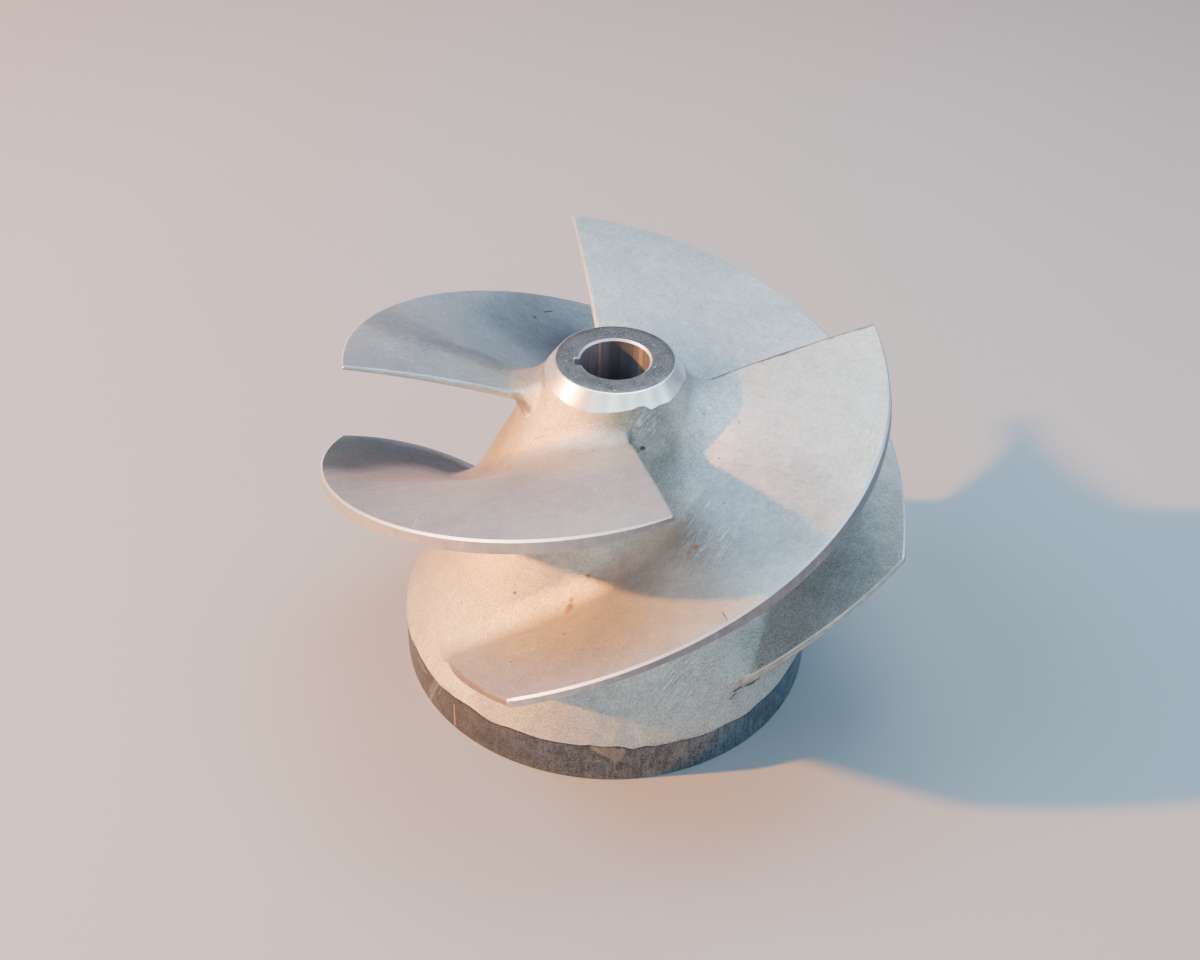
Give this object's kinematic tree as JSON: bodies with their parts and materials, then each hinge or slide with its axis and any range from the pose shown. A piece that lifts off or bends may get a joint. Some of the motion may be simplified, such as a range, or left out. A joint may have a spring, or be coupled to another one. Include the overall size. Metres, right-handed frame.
{
  "type": "jet boat impeller",
  "caption": "Mixed-flow impeller casting with helical blades on a conical hub, a keyed shaft bore and a turned base band.",
  "frame": {"origin": "on the shaft axis, at the bottom of the base band's rim", "axes": "+Z along the shaft axis towards the nose (inlet side); +X towards the leading edge of the blade that starts 11 degrees round from it; the keyway is on the -X side"},
  "size_m": [0.293, 0.293, 0.1841],
  "materials": {
    "cast_stainless": "cast stainless steel, bead blasted to a fine matt grain, pale grey"
  },
  "bodies": {
    "root": {"impeller_casting": "cast_stainless"}
  },
  "joints": []
}
